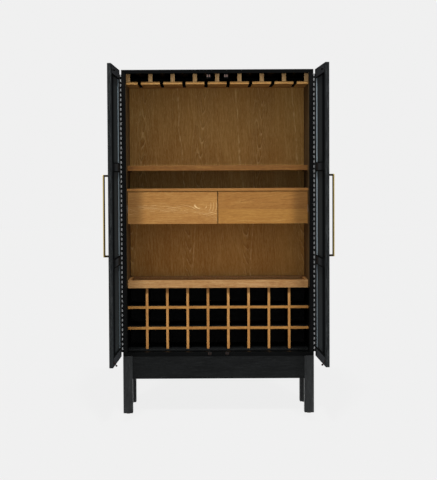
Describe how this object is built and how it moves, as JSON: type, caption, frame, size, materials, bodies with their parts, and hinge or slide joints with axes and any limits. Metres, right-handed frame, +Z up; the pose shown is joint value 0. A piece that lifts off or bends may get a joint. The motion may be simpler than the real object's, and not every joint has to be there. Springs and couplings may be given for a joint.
{
  "type": "wine cabinet",
  "caption": "Tall wine cabinet on square legs with glazed doors standing open, a stemware rack, a shelf, drawers, a pull-out tray and a grid of bottle cells.",
  "frame": {"origin": "on the floor, under the middle of the box round the cabinet with its doors at rest", "axes": "+Z up, the front faces -Y, +X to the right as seen from the front"},
  "size_m": [1.1532, 0.9542, 1.829],
  "materials": {
    "black_oak": "black stain, satin",
    "oak": "clear satin lacquer",
    "zinc_steel": "zinc plated",
    "nickel_steel": "nickel plated",
    "black_steel": "satin black",
    "aged_brass": "aged, satin",
    "pane_glass": "clear",
    "bead_grey": "satin blue-grey",
    "glide_plastic": "matt"
  },
  "bodies": {
    "carcass": {"left_side_panel": "black_oak", "right_side_panel": "black_oak", "top_panel": "black_oak", "bottom_panel": "black_oak", "back_panel": "oak", "stemware_rack_board": "oak", "stemware_rack_uprights": "oak", "upper_shelf": "oak", "shelf_pins": "nickel_steel", "drawer_case_top": "oak", "drawer_case_divider": "oak", "drawer_runner_rails": "zinc_steel", "wine_rack_base": "black_oak", "wine_rack_top": "black_oak", "wine_dividers": "black_oak", "wine_shelves": "black_oak", "wine_rack_lippings": "oak", "legs": "black_oak", "front_apron": "black_oak", "rear_apron": "black_oak", "side_aprons": "black_oak", "base_cleats": "black_oak", "foot_glides": "glide_plastic", "door_catches": "black_steel", "left_hinge_carcass_leaf": "black_steel", "right_hinge_carcass_leaf": "black_steel", "hinge_pins": "nickel_steel", "hinge_carcass_screws": "black_steel"},
    "tray": {"tray_floor": "oak", "tray_front_lip": "oak", "tray_rims": "oak"},
    "left_door": {"left_door_hinge_stile": "black_oak", "left_door_free_stile": "black_oak", "left_door_rails": "black_oak", "left_door_panes": "pane_glass", "left_door_glazing_beads": "bead_grey", "left_door_handle": "aged_brass", "left_door_handle_screws": "nickel_steel", "left_door_strikes": "black_steel", "left_door_hinge_leaf": "nickel_steel", "left_door_hinge_screws": "nickel_steel"},
    "left_drawer": {"left_drawer_front": "oak", "left_drawer_box": "oak", "left_drawer_bottom": "oak", "left_drawer_runners": "zinc_steel"},
    "right_door": {"right_door_hinge_stile": "black_oak", "right_door_free_stile": "black_oak", "right_door_rails": "black_oak", "right_door_panes": "pane_glass", "right_door_glazing_beads": "bead_grey", "right_door_handle": "aged_brass", "right_door_handle_screws": "nickel_steel", "right_door_strikes": "black_steel", "right_door_hinge_leaf": "nickel_steel", "right_door_hinge_screws": "nickel_steel"},
    "right_drawer": {"right_drawer_front": "oak", "right_drawer_box": "oak", "right_drawer_bottom": "oak", "right_drawer_runners": "zinc_steel"}
  },
  "joints": [
    {"name": "left_door_hinge", "type": "hinge", "parent": "carcass", "child": "left_door", "pos_m": [-0.5118, 0.03288, 1.069], "axis": [0, 0, -1], "range_deg": [-91.7, 88.3]},
    {"name": "right_door_hinge", "type": "hinge", "parent": "carcass", "child": "right_door", "pos_m": [0.5118, 0.03288, 1.069], "axis": [0, 0, 1], "range_deg": [-91.7, 88.3]},
    {"name": "left_drawer_slide", "type": "slide", "parent": "carcass", "child": "left_drawer", "axis": [0, -1, 0], "range_m": [0, 0.23]},
    {"name": "right_drawer_slide", "type": "slide", "parent": "carcass", "child": "right_drawer", "axis": [0, -1, 0], "range_m": [0, 0.23]},
    {"name": "tray_slide", "type": "slide", "parent": "carcass", "child": "tray", "axis": [0, -1, 0], "range_m": [0, 0.16]}
  ]
}
